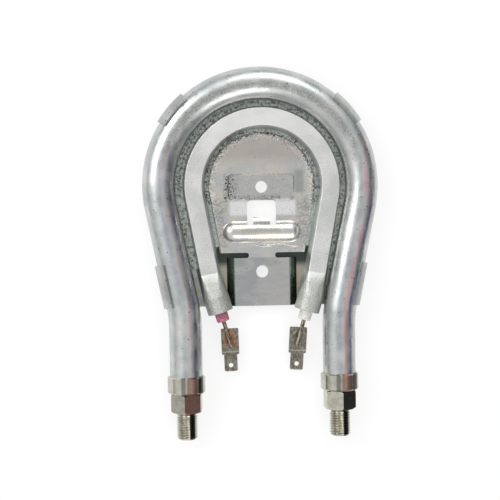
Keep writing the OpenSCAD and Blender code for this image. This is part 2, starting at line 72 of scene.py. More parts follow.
tube_low, tube_high = (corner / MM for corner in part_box("water_tube"))
BEND_Y = tube_high.y - BEND_R - TUBE_R
PAD_Y = BEND_Y - 0.7
AXIS_X = 36.75
HEX_END_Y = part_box("collar_left")[0].y / MM - 9.15


# Building meshes

def add_piece(name, verts, faces, material, sharp=35):
    """A new mesh piece from points in millimetres, riding on the one body."""
    mesh = bpy.data.meshes.new(name)
    mesh.from_pydata([Vector(v) * MM for v in verts], [], faces)
    mesh.update()
    mesh.polygons.foreach_set("use_smooth", [True] * len(mesh.polygons))
    mesh.set_sharp_from_angle(angle=math.radians(sharp))
    mesh.materials.append(material)
    obj = bpy.data.objects.new(name, mesh)
    bpy.context.scene.collection.objects.link(obj)
    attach(obj, BODY)
    return obj


def loft(rings):
    """Points and faces of a closed skin through rings that meet end to start."""
    count = len(rings[0])
    verts = [p for ring in rings for p in ring]
    faces = []
    for i in range(len(rings)):
        a = i * count
        b = (i + 1) % len(rings) * count
        for k in range(count):
            n = (k + 1) % count
            faces.append((a + k, b + k, b + n, a + n))
    return verts, faces


# Finishes

class Finish:
    """A Principled material whose detail is placed in millimetres on the object."""

    def __init__(self, name, metallic=1.0, roughness=0.35):
        self.material = bpy.data.materials.new(name)
        self.material.use_nodes = True
        self.tree = self.material.node_tree
        self.tree.nodes.clear()
        out = self.tree.nodes.new("ShaderNodeOutputMaterial")
        self.shader = self.tree.nodes.new("ShaderNodeBsdfPrincipled")
        self.tree.links.new(self.shader.outputs[0], out.inputs[0])
        self.shader.inputs["Metallic"].default_value = metallic
        self.shader.inputs["Roughness"].default_value = roughness
        coord = self.tree.nodes.new("ShaderNodeTexCoord")
        self.place = self.vector("SCALE", coord.outputs["Object"], scale=1 / MM)
        split = self.tree.nodes.new("ShaderNodeSeparateXYZ")
        self.tree.links.new(self.place, split.inputs[0])
        self.x, self.y, self.z = split.outputs

    def put(self, socket, value):
        if isinstance(value, bpy.types.NodeSocket):
            self.tree.links.new(value, socket)
        elif isinstance(value, (tuple, list)) and socket.type == "RGBA":
            socket.default_value = (*value[:3], 1)
        else:
            socket.default_value = value

    def vector(self, operation, a, b=None, scale=None):
        node = self.tree.nodes.new("ShaderNodeVectorMath")
        node.operation = operation
        self.put(node.inputs[0], a)
        if b is not None:
            self.put(node.inputs[1], b)
        if scale is not None:
            node.inputs["Scale"].default_value = scale
        return node.outputs["Value" if operation in ("LENGTH", "DOT_PRODUCT") else "Vector"]

    def calc(self, operation, a, b=0.0):
        node = self.tree.nodes.new("ShaderNodeMath")
        node.operation = operation
        self.put(node.inputs[0], a)
        self.put(node.inputs[1], b)
        return node.outputs[0]

    def times(self, first, *rest):
        for value in rest:
            first = self.calc("MULTIPLY", first, value)
        return first

    def rise(self, value, low, high, to_low=0.0, to_high=1.0):
        """A smooth step from to_low at low to to_high at high."""
        node = self.tree.nodes.new("ShaderNodeMapRange")
        node.interpolation_type = "SMOOTHSTEP"
        self.put(node.inputs["Value"], value)
        flip = low > high
        ends = (high, low, to_high, to_low) if flip else (low, high, to_low, to_high)
        for key, end in zip(("From Min", "From Max", "To Min", "To Max"), ends):
            node.inputs[key].default_value = end
        return node.outputs["Result"]

    def band(self, value, low, high, soft):
        """One between low and high, falling to nothing over soft on both sides."""
        return self.times(self.rise(value, low - soft, low + soft), self.rise(value, high + soft, high - soft))

    def patch(self, x0, x1, y0, y1, soft=1.0):
        return self.times(self.band(self.x, x0, x1, soft), self.band(self.y, y0, y1, soft))

    def noise(self, scale, detail=3.0, stretch=None, warp=0.0):
        node = self.tree.nodes.new("ShaderNodeTexNoise")
        place = self.place if stretch is None else self.vector("MULTIPLY", self.place, stretch)
        self.put(node.inputs["Vector"], place)
        node.inputs["Scale"].default_value = scale
        node.inputs["Detail"].default_value = detail
        node.inputs["Distortion"].default_value = warp
        return node.outputs[0]

    def cells(self, scale):
        node = self.tree.nodes.new("ShaderNodeTexVoronoi")
        self.put(node.inputs["Vector"], self.place)
        node.inputs["Scale"].default_value = scale
        return node.outputs["Distance"]

    def pits(self, scale, size, sparse):
        """Small dark spots, fewer where sparse is nearer one."""
        spots = self.rise(self.cells(scale), size, size * 0.6)
        return self.times(spots, self.rise(self.noise(scale * 0.6, 1.0), sparse, sparse + 0.04))

    def mix(self, amount, a, b):
        node = self.tree.nodes.new("ShaderNodeMix")
        node.data_type = "RGBA"
        self.put(node.inputs[0], amount)
        self.put(node.inputs[6], a)
        self.put(node.inputs[7], b)
        return node.outputs[2]

    def color(self, value):
        self.put(self.shader.inputs["Base Color"], value)

    def roughness(self, value):
        self.put(self.shader.inputs["Roughness"], value)

    def bump(self, *layers):
        """Layers of (height, depth in millimetres), laid over each other."""
        normal = None
        for height, depth in layers:
            node = self.tree.nodes.new("ShaderNodeBump")
            node.inputs["Strength"].default_value = 1.0
            node.inputs["Distance"].default_value = depth * MM
            self.put(node.inputs["Height"], height)
            if normal is not None:
                self.put(node.inputs["Normal"], normal)
            normal = node.outputs[0]
        self.put(self.shader.inputs["Normal"], normal)


def tube_offset(f):
    """Distance to the right of the water tube's middle line, seen from above, on both legs."""
    leg_foot_y = BEND_Y - 56.5
    leg_head_y = BEND_Y - BEND_R * math.sin(LEG_LEAN)
    head_x = BEND_R * math.cos(LEG_LEAN)
    middle = f.tree.nodes.new("ShaderNodeMapRange")
    f.put(middle.inputs["Value"], f.y)
    for key, end in zip(("From Min", "From Max", "To Min", "To Max"), (leg_foot_y, leg_head_y, AXIS_X, head_x)):
        middle.inputs[key].default_value = end
    side = f.calc("SIGN", f.x)
    return f.calc("SUBTRACT", f.x, f.times(side, middle.outputs["Result"]))


def tube_finish():
    f = Finish("tube_aluminium")
    blotch = f.rise(f.noise(0.09, 4.0), 0.35, 0.68)
    grain = f.noise(2.6, 2.0)
    base = f.mix(blotch, (0.50, 0.53, 0.53), (0.64, 0.65, 0.64))
    base = f.mix(f.rise(grain, 0.35, 0.7, 0.0, 0.22), base, (0.34, 0.36, 0.35))
    radius = f.vector("LENGTH", f.vector("MULTIPLY", f.vector("SUBTRACT", f.place, (0, BEND_Y, 0)), (1, 1, 0)))
    on_bend = f.rise(f.y, BEND_Y + 4, BEND_Y + 22)
    drawn = f.noise(0.9, 3.0, (1, 0.12, 1))
    # Painted reflection: a dark, patchy band along the top of the tube round the bend.
    crest = f.times(f.band(radius, BEND_R - 3.2, BEND_R + 0.6, 1.6), on_bend)
    base = f.mix(f.times(crest, f.rise(f.noise(1.3, 4.0), 0.38, 0.62, 0.1, 0.75)), base, (0.30, 0.28, 0.25))
    # Painted reflections: streaky pink, blue and brown bands along the legs, at set distances right of the tube's
    # middle line.
    right = tube_offset(f)
    off_bend = f.rise(f.y, BEND_Y + 26, BEND_Y + 8)
    on_right = f.rise(f.x, -1, 1)
    streaky = f.rise(f.noise(0.5, 4.0, (1, 0.16, 1)), 0.36, 0.60)
    reflection_streaks = f.times(streaky, off_bend)
    pink = f.mix(on_right, (0.52, 0.34, 0.36), (0.66, 0.22, 0.29))
    base = f.mix(f.times(f.band(right, 1.4, 3.2, 0.9), reflection_streaks, 0.62), base, pink)
    base = f.mix(f.times(f.band(right, 3.9, 5.4, 0.8), reflection_streaks, 0.86), base, (0.17, 0.16, 0.34))
    base = f.mix(f.times(f.band(right, -0.9, 0.2, 0.8), reflection_streaks, 0.40), base, (0.36, 0.38, 0.56))
    base = f.mix(f.times(f.band(right, 5.6, 6.8, 0.5), reflection_streaks, 0.55), base, (0.36, 0.33, 0.24))
    base = f.mix(f.pits(0.42, 0.14, 0.46), base, (0.02, 0.02, 0.02))
    f.color(base)
    f.roughness(f.rise(f.noise(0.22, 3.0), 0.3, 0.7, 0.24, 0.40))
    f.bump((f.noise(0.07, 1.5), 0.35), (drawn, 0.006), (grain, 0.006))
    return f.material


def sheath_finish():
    f = Finish("sheath_aluminium")
    grain = f.noise(2.4, 3.0)
    top = f.rise(f.z, HEATER_TOP - 0.6, HEATER_TOP - 0.1)
    base = f.mix(f.rise(f.noise(0.08, 3.0), 0.35, 0.65), (0.60, 0.61, 0.59), (0.74, 0.74, 0.73))
    base = f.mix(f.rise(grain, 0.42, 0.66, 0.0, 0.5), base, (0.44, 0.45, 0.43))
    # Painted highlight: the top face lighter towards the bend.
    bright = f.times(top, f.rise(f.y, BEND_Y + 8, BEND_Y + 34))
    base = f.mix(f.times(bright, 0.5), base, (0.84, 0.84, 0.84))
    # Painted shade: the lower flanks darker, from the upper legs round the bend.
    low = f.rise(f.z, HEATER_TOP - 0.9, HEATER_TOP - 3.5)
    up_leg = f.rise(f.y, -8, 6)
    base = f.mix(f.times(low, up_leg, 0.45), base, (0.34, 0.38, 0.36))
    ends = f.rise(f.y, -10, -15)
    flux = f.rise(f.noise(1.1, 4.0), 0.47, 0.62)
    base = f.mix(f.times(ends, 0.7), base, (0.40, 0.42, 0.38))
    base = f.mix(f.times(f.rise(f.y, -17, -25), flux, 0.5), base, (0.66, 0.67, 0.64))
    base = f.mix(f.pits(0.5, 0.10, 0.53), base, (0.03, 0.03, 0.03))
    f.color(base)
    f.roughness(f.rise(grain, 0.3, 0.7, 0.40, 0.56))
    f.bump((f.noise(0.15, 2.0), 0.06), (grain, 0.016), (f.times(ends, flux), 0.10))
    return f.material


def carrier_finish():
    f = Finish("sheet_aluminium")
    grain = f.noise(1.9, 3.0, (1, 0.5, 1))
    base = f.mix(f.rise(f.noise(0.12, 3.0), 0.35, 0.65), (0.44, 0.45, 0.44), (0.58, 0.59, 0.58))
    base = f.mix(f.rise(grain, 0.4, 0.7, 0.0, 0.3), base, (0.30, 0.31, 0.30))
    behind = f.patch(-25, 26, -26, 2, 1.0)
    base = f.mix(behind, base, (0.42, 0.40, 0.33))
    # Painted shade: a near-black band on this sheet where the slots of the pressed plate above look onto it.
    shade_under_slots = f.patch(-25, 26, -6, 3, 2.2)
    base = f.mix(shade_under_slots, base, (0.06, 0.075, 0.065))
    base = f.mix(f.times(f.pits(0.5, 0.16, 0.45), f.rise(f.z, 6, 8)), base, (0.03, 0.03, 0.03))
    f.color(base)
    f.roughness(f.rise(grain, 0.3, 0.7, 0.30, 0.46))
    f.bump((f.noise(0.15, 2.0), 0.08), (grain, 0.008))
    return f.material


def plate_finish():
    """The pressed plate: bright and wavy, with a grey pad, dark flux grains in painted shade, painted highlights and
    reflections, and a darker channel with painted shade on its sloped sides.
    """
    f = Finish("pressed_aluminium")
    grain = f.noise(2.2, 3.0)
    warm = f.rise(f.noise(0.11, 3.0, (0.7, 1.3, 1), 0.8), 0.38, 0.62)
    base = f.mix(warm, (0.60, 0.61, 0.61), (0.70, 0.67, 0.62))
    # Painted shade: the plate darker and browner towards the top.
    base = f.mix(f.times(f.rise(f.y, PAD_Y + 9, PAD_Y + 16), 0.6), base, (0.50, 0.45, 0.41))
    radius = f.vector("LENGTH", f.vector("MULTIPLY", f.vector("SUBTRACT", f.place, (HEATER_X, BEND_Y, 0)), (1, 1, 0)))
    # Dark flux grains with painted shade in the groove along the rim.
    rim = f.times(f.rise(radius, 20.5, 25.5), f.rise(f.y, BEND_Y - 12, BEND_Y - 2))
    grains = f.rise(f.noise(1.5, 4.0), 0.42, 0.60)
    base = f.mix(f.times(rim, grains, 0.85), base, (0.16, 0.16, 0.15))
    # Dark flux grains with painted shade along the legs' inner edges.
    edge = f.rise(f.calc("ABSOLUTE", f.calc("SUBTRACT", f.x, HEATER_X)), 15, 19)
    low_edge = f.times(edge, f.patch(-25, 26, 2, 26, 1.5))
    base = f.mix(f.times(low_edge, grains, 0.6), base, (0.26, 0.26, 0.24))
    # Painted highlight: patches of near white on the plate below the pad.
    plate_highlight = f.times(f.patch(-14.6, 17, BEND_Y - 14.2, PAD_Y - PAD_HALF_L - 1.1, 0.9), f.rise(f.noise(1.2, 3.0), 0.72, 0.60))
    base = f.mix(plate_highlight, base, (0.95, 0.95, 0.96))
    pad = f.times(f.patch(PAD_X - PAD_HALF_W, PAD_X + PAD_HALF_W, PAD_Y - PAD_HALF_L, PAD_Y + PAD_HALF_L, 0.3),
                  f.rise(f.z, PAD_Z - 0.5, PAD_Z - 0.2))
    base = f.mix(f.times(pad, 0.9), base, f.mix(f.rise(grain, 0.3, 0.7), (0.34, 0.35, 0.34), (0.47, 0.47, 0.46)))
    speck = f.rise(f.noise(1.7, 5.0), 0.50, 0.60)
    by_left = f.times(f.rise(f.x, PAD_X - PAD_HALF_W + 6, PAD_X - PAD_HALF_W - 0.5),
                      f.band(f.x, PAD_X - PAD_HALF_W - 2.6, 40, 0.8),
                      f.band(f.y, PAD_Y - 6.5, PAD_Y + 6.0, 1.0))
    base = f.mix(f.times(by_left, speck), base, (0.035, 0.03, 0.03))
    # Painted shade along the pad's foot, broken up by dark specks.
    by_foot = f.times(f.patch(-15, 10, PAD_Y - PAD_HALF_L - 0.4, PAD_Y - PAD_HALF_L + 1.5, 0.6), speck, 0.8)
    base = f.mix(by_foot, base, (0.06, 0.06, 0.06))
    shade = f.patch(PAD_X + PAD_HALF_W + 0.8, PAD_X + PAD_HALF_W + 5.2, PAD_Y - 3, PAD_Y + 8, 1.2)
    base = f.mix(f.times(shade, 0.7), base, (0.33, 0.37, 0.36))
    bead_y = PAD_Y - BEAD_DROP
    # Painted reflection: a dark band on the bead.
    bead_dark_reflection = f.patch(-9, 9, bead_y + 0.4, bead_y + 3.2, 1.5)
    base = f.mix(f.times(bead_dark_reflection, 0.55), base, (0.30, 0.31, 0.29))
    # Painted highlight: a warm bright band on the bead, below the dark one.
    bead_warm_highlight = f.patch(-2, 17, bead_y - 4.4, bead_y - 0.6, 1.3)
    base = f.mix(f.times(bead_warm_highlight, 0.7), base, (0.86, 0.80, 0.68))
    # Painted shade: dark green on the channel's sloped sides.
    flank = f.rise(f.calc("ABSOLUTE", f.calc("SUBTRACT", f.x, PAD_X)), CHANNEL_HALF - 0.9, CHANNEL_HALF + 0.1)
    below = f.rise(f.y, PAD_Y - 33.4, PAD_Y - 34.2)
    base = f.mix(f.times(flank, below, 0.93), base, (0.10, 0.15, 0.125))
    channel = f.times(below, f.rise(f.calc("ABSOLUTE", f.calc("SUBTRACT", f.x, PAD_X)), CHANNEL_HALF, CHANNEL_HALF - 1))
    base = f.mix(f.times(channel, 0.75), base, f.mix(warm, (0.38, 0.40, 0.41), (0.50, 0.50, 0.51)))
    base = f.mix(f.pits(0.45, 0.11, 0.50), base, (0.02, 0.02, 0.02))
    f.color(base)
    matt = f.calc("MAXIMUM", pad, f.times(rim, 0.8))
    f.roughness(f.calc("ADD", f.rise(grain, 0.3, 0.7, 0.20, 0.30), f.times(matt, 0.24)))
    f.bump((f.noise(0.09, 1.5, (0.8, 1.4, 1), 0.6), 0.30), (f.times(rim, grains), 0.08), (grain, 0.004))
    return f.material


def braze_finish():
    f = Finish("braze_alloy", roughness=0.5)
    lumps = f.noise(1.2, 4.0)
    base = f.mix(f.rise(lumps, 0.4, 0.62), (0.30, 0.33, 0.31), (0.50, 0.53, 0.51))
    # Painted shade: near-black patches on the braze's higher parts.
    base = f.mix(f.times(f.rise(f.z, 5.4, 6.0), f.rise(f.noise(0.8, 4.0), 0.50, 0.60), 0.75), base, (0.06, 0.07, 0.06))
    f.color(base)
    f.roughness(f.rise(lumps, 0.3, 0.7, 0.42, 0.62))
    f.bump((lumps, 0.12))
    return f.material


def grain_finish(name, dark, light):
    f = Finish(name, metallic=0.4, roughness=0.5)
    f.color(f.mix(f.rise(f.noise(0.9, 2.0), 0.42, 0.58), dark, light))
    f.roughness(f.rise(f.noise(3.0, 2.0), 0.3, 0.7, 0.38, 0.6))
    f.bump((f.noise(4.0, 2.0), 0.01))
    return f.material


def collar_finish():
    """Plated ring, warm grey, with a painted brown reflection along its length on the side that looks to the right, a
    painted dark reflection beside it and another along its top.
    """
    f = Finish("plated_collar")
    fine = f.noise(3.2, 3.0)
    base = f.mix(f.rise(f.noise(0.3, 3.0), 0.35, 0.65), (0.47, 0.45, 0.38), (0.58, 0.56, 0.49))
    right = f.calc("SUBTRACT", f.x, f.times(f.calc("SIGN", f.x), AXIS_X))
    # Painted reflection: brown on the right of the upper half.
    brown = f.times(f.band(right, 0.2, 5.2, 0.5), f.rise(f.z, 9, 12), f.rise(fine, 0.3, 0.62, 0.55, 1.0))
    base = f.mix(f.times(brown, 0.8), base, (0.28, 0.11, 0.08))
    # Painted reflection: a near-black band further right.
    dark = f.times(f.band(right, 5.6, 7.8, 0.4), f.rise(f.z, 8, 10))
    base = f.mix(f.times(dark, 0.9), base, (0.02, 0.02, 0.02))
    # Painted reflection: a dark band along the top, left of the middle.
    crest = f.times(f.band(right, -2.6, -0.6, 0.35), f.rise(f.z, 14, 16))
    base = f.mix(f.times(crest, 0.6), base, (0.10, 0.12, 0.10))
    f.color(base)
    f.roughness(f.rise(fine, 0.3, 0.7, 0.12, 0.24))
    f.bump((f.noise(0.3, 2.0), 0.03), (fine, 0.002))
    return f.material


def fitting_finish(name, side, corner_x, face_reflection):
    """Plated fitting, with a painted reflection on one face of the hexagon right of its corner, and a painted dark
    reflection on a flank of the thread.
    """
    f = Finish(name)
    fine = f.noise(3.2, 3.0)
    base = f.mix(f.rise(f.noise(0.3, 3.0), 0.35, 0.65), (0.46, 0.44, 0.37), (0.57, 0.55, 0.48))
    right = f.calc("SUBTRACT", f.x, side * AXIS_X)
    on_hex = f.rise(f.y, HEX_END_Y - 0.2, HEX_END_Y + 0.2)
    # Painted reflection: one face of the hexagon, in the colour given.
    face = f.times(f.rise(right, corner_x - 0.15, corner_x + 0.15), on_hex, f.rise(f.z, 9, 11))
    base = f.mix(f.times(face, f.rise(fine, 0.3, 0.62, 0.7, 1.0)), base, face_reflection)
    # Painted reflection: a near-black band on the thread, right of the middle.
    flank = f.times(f.band(right, 1.3, 3.8, 0.25), f.rise(f.y, HEX_END_Y + 0.2, HEX_END_Y - 0.2), f.rise(f.z, 9, 11))
    base = f.mix(f.times(flank, 0.92), base, (0.015, 0.018, 0.015))
    f.color(base)
    f.roughness(f.rise(fine, 0.3, 0.7, 0.12, 0.22))
    f.bump((f.noise(0.3, 2.0), 0.03), (fine, 0.002))
    return f.material


def tab_finish():
    """Steel tabs, brownish, with a heat tint round the left weld."""
    f = Finish("tab_steel")
    brushed = f.noise(1.6, 4.0, (1, 0.3, 1))
    base = f.mix(f.rise(brushed, 0.35, 0.65), (0.17, 0.155, 0.125), (0.31, 0.285, 0.24))
    tip = (-14.78, -45.05)
    across = f.vector("DOT_PRODUCT", f.vector("SUBTRACT", f.place, (tip[0], tip[1], 0)),
                      (math.cos(END_LEAN), math.sin(END_LEAN), 0))
    ring = f.times(f.band(f.calc("ABSOLUTE", across), 0.8, 2.3, 0.35), f.patch(-19, -12, -44.6, -37, 0.9))
    wavy = f.rise(f.noise(0.8, 3.0), 0.34, 0.56)
    base = f.mix(f.times(ring, wavy, 0.9), base, (0.46, 0.13, 0.03))
    base = f.mix(f.pits(1.1, 0.16, 0.5), base, (0.05, 0.04, 0.03))
    f.color(base)
    f.roughness(f.rise(brushed, 0.3, 0.7, 0.26, 0.42))
    f.bump((brushed, 0.008), (f.noise(4.0, 2.0), 0.004))
    return f.material


def pin_finish():
    f = Finish("pin_steel")
    scale = f.noise(1.4, 4.0, (1, 0.4, 1))
    f.color(f.mix(f.rise(scale, 0.38, 0.62), (0.10, 0.085, 0.06), (0.36, 0.34, 0.28)))
    f.roughness(f.rise(scale, 0.3, 0.7, 0.28, 0.5))
    f.bump((scale, 0.015))
    return f.material


def ceramic_finish(name, deep, light):
    f = Finish(name, metallic=0.0, roughness=0.42)
    mottle = f.noise(0.9, 4.0)
    f.color(f.mix(f.rise(mottle, 0.36, 0.64), deep, light))
    f.roughness(f.rise(f.noise(2.5, 2.0), 0.3, 0.7, 0.34, 0.52))
    f.bump((mottle, 0.03), (f.noise(4.0, 2.0), 0.006))
    return f.material


def plain_inner_finish(name, dark, light, metallic, roughness):
    """The finish of a piece that lies inside."""
    f = Finish(name, metallic, roughness)
    grain = f.noise(2.0, 3.0)
    f.color(f.mix(f.rise(grain, 0.35, 0.65), dark, light))
    f.roughness(f.rise(grain, 0.3, 0.7, roughness - 0.08, roughness + 0.1))
    f.bump((grain, 0.06))
    return f.material


tube_aluminium = tube_finish()
sheath_aluminium = sheath_finish()
sheet_aluminium = carrier_finish()
pressed_aluminium = plate_finish()
braze_alloy = braze_finish()
plated_collar = collar_finish()
# The last colours are the painted reflections on one face of each hexagon.
inlet_brass = fitting_finish("plated_brass_inlet", -1, -1.07, (0.20, 0.095, 0.075))
outlet_brass = fitting_finish("plated_brass_outlet", 1, 0.72, (0.030, 0.035, 0.032))
tab_steel = tab_finish()
dark_grain = grain_finish("dark_grain", (0.04, 0.04, 0.035), (0.30, 0.30, 0.28))
pale_grain = grain_finish("pale_grain", (0.40, 0.40, 0.37), (0.86, 0.86, 0.84))

NODE_FINISH = {
    "water_tube": tube_aluminium,
    "heater_sheath": sheath_aluminium,
    "carrier_plate": sheet_aluminium,
    "sensor_plate": pressed_aluminium,
    "outer_braze": braze_alloy,
    "inner_braze": braze_alloy,
    "collar_left": plated_collar,
    "collar_right": plated_collar,
    "terminal_tab_left": tab_steel,
    "terminal_tab_right": tab_steel,
    "end_bead_left": ceramic_finish("pink_ceramic", (0.33, 0.085, 0.15), (0.50, 0.19, 0.28)),
    "end_bead_right": ceramic_finish("white_ceramic", (0.58, 0.56, 0.54), (0.76, 0.75, 0.73)),
    "magnesia_fill": plain_inner_finish("magnesia", (0.70, 0.69, 0.66), (0.84, 0.83, 0.80), 0.0, 0.8),
    "heating_coil": plain_inner_finish("resistance_wire", (0.25, 0.20, 0.16), (0.45, 0.38, 0.32), 1.0, 0.4),
}
pin_steel = pin_finish()
rubber = plain_inner_finish("seal_rubber", (0.02, 0.02, 0.02), (0.05, 0.05, 0.05), 0.0, 0.6)
for end in ("left", "right"):
    NODE_FINISH["cold_pin_" + end] = pin_steel
    NODE_FINISH["seal_ring_" + end] = rubber
for name, material in NODE_FINISH.items():
    nodes[name].data.materials.clear()
    nodes[name].data.materials.append(material)


# Softened edges of the terminal tabs

def soften(name, width):
    bevel = nodes[name].modifiers.new("edge", "BEVEL")
    bevel.width = width * MM
    bevel.segments = 2
    bevel.limit_method = "ANGLE"
    bevel.angle_limit = math.radians(50)
    bevel.harden_normals = False


for end in ("left", "right"):
    soften("terminal_tab_" + end, 0.1)


# Fittings, with a cut thread

THREAD_PITCH = 1.25
THREAD_ROOT = 4.3
THREAD_CREST = 5.0
COLLAR_LEN = 8.3
HEX_FROM = COLLAR_LEN + 0.05
HEX_LEN = 9.1
HEX_AF = 14.0
THREAD_FROM = COLLAR_LEN + HEX_LEN + 1.2
THREAD_TO = COLLAR_LEN + HEX_LEN + 13.0
AROUND = 144


def hex_radius(angle, turn):
    """Radius of the hexagon at an angle in degrees, with a corner at 90 + turn."""
    part = (angle - 90 - turn) % 60 - 30
    return HEX_AF / 2 / math.cos(math.radians(part))


def hex_rows():
    """Distances along the hexagon and the cone that breaks its corners there."""
    corner = HEX_AF / 2 / math.cos(math.radians(30))
    chamfer = (corner - HEX_AF / 2) * 0.8
    steps = 8
    rows = []
    for i in range(steps + 1):
        rows.append((HEX_FROM + chamfer * i / steps, HEX_AF / 2 + (corner - HEX_AF / 2) * i / steps))
    for i in range(steps + 1):
        rows.append((HEX_FROM + HEX_LEN - chamfer * (steps - i) / steps, corner - (corner - HEX_AF / 2) * i / steps))
    return rows


def thread_radius(angle, along):
    phase = (along / THREAD_PITCH - angle / 360) % 1
    wedge = 1 - abs(2 * phase - 1)
    height = min(max((wedge - 0.14) / 0.66, 0), 1)
    start = min(max((along - THREAD_FROM) / 0.8, 0), 1)
    radius = THREAD_ROOT + (THREAD_CREST - THREAD_ROOT) * height * start
    lead = THREAD_CREST - max(along - (THREAD_TO - 1), 0)
    return min(radius, lead)


def fitting(name, collar, material):
    """One turned and threaded fitting in place of its plain solid."""
    turn = HEX_TURN[name]
    low, high = (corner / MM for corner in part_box(collar))
    axis_x = (low.x + high.x) / 2
    axis_z = (low.z + high.z) / 2
    angles = [90 + turn + 360 * k / AROUND for k in range(AROUND)]
    bore = 3.0
    spigot = 6.25
    groove = 4.75
    neck = 5.5
    turned = [
        (-4, bore), (-4, spigot - 0.5), (-3.5, spigot), (0.8, spigot), (0.8, groove), (2.7, groove),
        (2.7, spigot), (7.25, spigot), (7.25, neck), (HEX_FROM, neck)]
    rows = [(along, [radius] * AROUND) for along, radius in turned]
    for along, cone in hex_rows():
        rows.append((along, [min(hex_radius(a, turn), cone) for a in angles]))
    shoulder = HEX_FROM + HEX_LEN
    rows.append((shoulder, [6.0] * AROUND))
    rows.append((shoulder + 0.15, [6.0] * AROUND))
    step = THREAD_PITCH / 10
    count = int((THREAD_TO - THREAD_FROM) / step) + 1
    for i in range(count + 1):
        along = THREAD_FROM + (THREAD_TO - THREAD_FROM) * i / count
        rows.append((along, [thread_radius(a, along) for a in angles]))
    rows.append((THREAD_TO, [bore + 0.4] * AROUND))
    rows.append((THREAD_TO - 0.4, [bore] * AROUND))
    rings = []
    for along, radii in rows:
        rings.append([
            (axis_x + r * math.cos(math.radians(a)), high.y - along, axis_z + r * math.sin(math.radians(a)))
            for a, r in zip(angles, radii)])
    verts, faces = loft(rings)
    obj = add_piece(name + "_threaded", verts, faces, material, 28)
    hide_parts(name)


fitting("inlet_fitting", "collar_left", inlet_brass)
fitting("outlet_fitting", "collar_right", outlet_brass)


# Flux grains

GOLD = (1 + math.sqrt(5)) / 2
ICO_POINTS = [
    Vector(p).normalized() for p in (
        (-1, GOLD, 0), (1, GOLD, 0), (-1, -GOLD, 0), (1, -GOLD, 0), (0, -1, GOLD), (0, 1, GOLD),
        (0, -1, -GOLD), (0, 1, -GOLD), (GOLD, 0, -1), (GOLD, 0, 1), (-GOLD, 0, -1), (-GOLD, 0, 1))]
ICO_FACES = [
    (0, 11, 5), (0, 5, 1), (0, 1, 7), (0, 7, 10), (0, 10, 11), (1, 5, 9), (5, 11, 4), (11, 10, 2),
    (10, 7, 6), (7, 1, 8), (3, 9, 4), (3, 4, 2), (3, 2, 6), (3, 6, 8), (3, 8, 9), (4, 9, 5),
    (2, 4, 11), (6, 2, 10), (8, 6, 7), (9, 8, 1)]


def grains(name, places, small, large, material, slot, draw):
    """Little uneven lumps at the given points, half sunk in what carries them."""
    verts = []
    faces = []
    for place in places:
        size = draw.uniform(small, large) / 2
        base = len(verts)
        for p in ICO_POINTS:
            verts.append(Vector(place) + p * size * draw.uniform(0.7, 1.15))
        faces += [tuple(base + k for k in face) for face in ICO_FACES]
    add_piece(name, verts, faces, material, 60)


def on_arc(draw, count, r_low, r_high, from_deg, to_deg, height):
    """Points round the element's bend, at the height that a function of the radius gives."""
    points = []
    for _ in range(count):
        angle = math.radians(draw.uniform(from_deg, to_deg))
        r = draw.uniform(r_low, r_high)
        points.append((HEATER_X + r * math.cos(angle), BEND_Y + r * math.sin(angle), height(r)))
    return points


def groove_height(r):
    """Top of the groove between the pressed plate and the element's foot."""
    rim_top = 24.35
    rim_edge = 26.35
    if r < rim_top:
        return FACE_Z
    if r < rim_edge - 0.6:
        drop = r - rim_top
        return FACE_Z - 2 + math.sqrt(4 - drop * drop)
    return 4.0 + max(r - 26.65, 0) * 4.3


seeded = random.Random(7)
inner = on_arc(seeded, 210, 25.0, 27.2, 120, 200, groove_height)
inner += on_arc(seeded, 170, 25.0, 27.2, -20, 60, groove_height)
inner += on_arc(seeded, 90, 24.4, 26.9, 60, 120, groove_height)
grains("flux_inner", inner, 0.35, 0.95, dark_grain, "braze_alloy", seeded)
scattered = on_arc(seeded, 60, 22.0, 25.5, 20, 165, groove_height)
grains("flux_pale", scattered, 0.25, 0.6, pale_grain, "braze_alloy", seeded)


def valley_height(r):
    return 6.35


outer = on_arc(seeded, 130, 39.0, 39.8, 95, 190, valley_height)
outer += on_arc(seeded, 60, 39.0, 39.8, 20, 95, valley_height)
grains("flux_outer", outer, 0.35, 0.85, dark_grain, "braze_alloy", seeded)


def end_grains(side, count, name):
    """Pale flux round the bead's seat on the end face of the sheath."""
    kink = 40.0
    run = 15.5
    foot_x = HEATER_R * math.cos(HEATER_LEAN) - kink * math.sin(HEATER_LEAN) - run * math.sin(END_LEAN)
    foot_y = -HEATER_R * math.sin(HEATER_LEAN) - kink * math.cos(HEATER_LEAN) - run * math.cos(END_LEAN)
    points = []
    for _ in range(count):
        angle = seeded.uniform(0, math.pi)
        r = seeded.uniform(3.4, 6.0)
        sideways = r * math.cos(angle)
        x = foot_x + sideways * math.cos(END_LEAN)
        y = foot_y - sideways * math.sin(END_LEAN)
        points.append((HEATER_X + side * x, BEND_Y + y + 0.05, 7.4 + r * math.sin(angle)))
    grains(name, points, 0.3, 0.8, pale_grain, "sheath_aluminium", seeded)


end_grains(-1, 46, "flux_end_left")
end_grains(1, 46, "flux_end_right")

pad_left = []
for _ in range(70):
    x = PAD_X - PAD_HALF_W + seeded.uniform(-1.2, 2.2)
    y = PAD_Y + seeded.uniform(-5.4, 5.0)
    on_top = x > PAD_X - PAD_HALF_W
    pad_left.append((x, y, PAD_Z if on_top else FACE_Z + 0.3))
grains("flux_pad", pad_left, 0.2, 0.5, dark_grain, "pressed_aluminium", seeded)


# Creases that the pressing left at the lower foot of the half-round bead

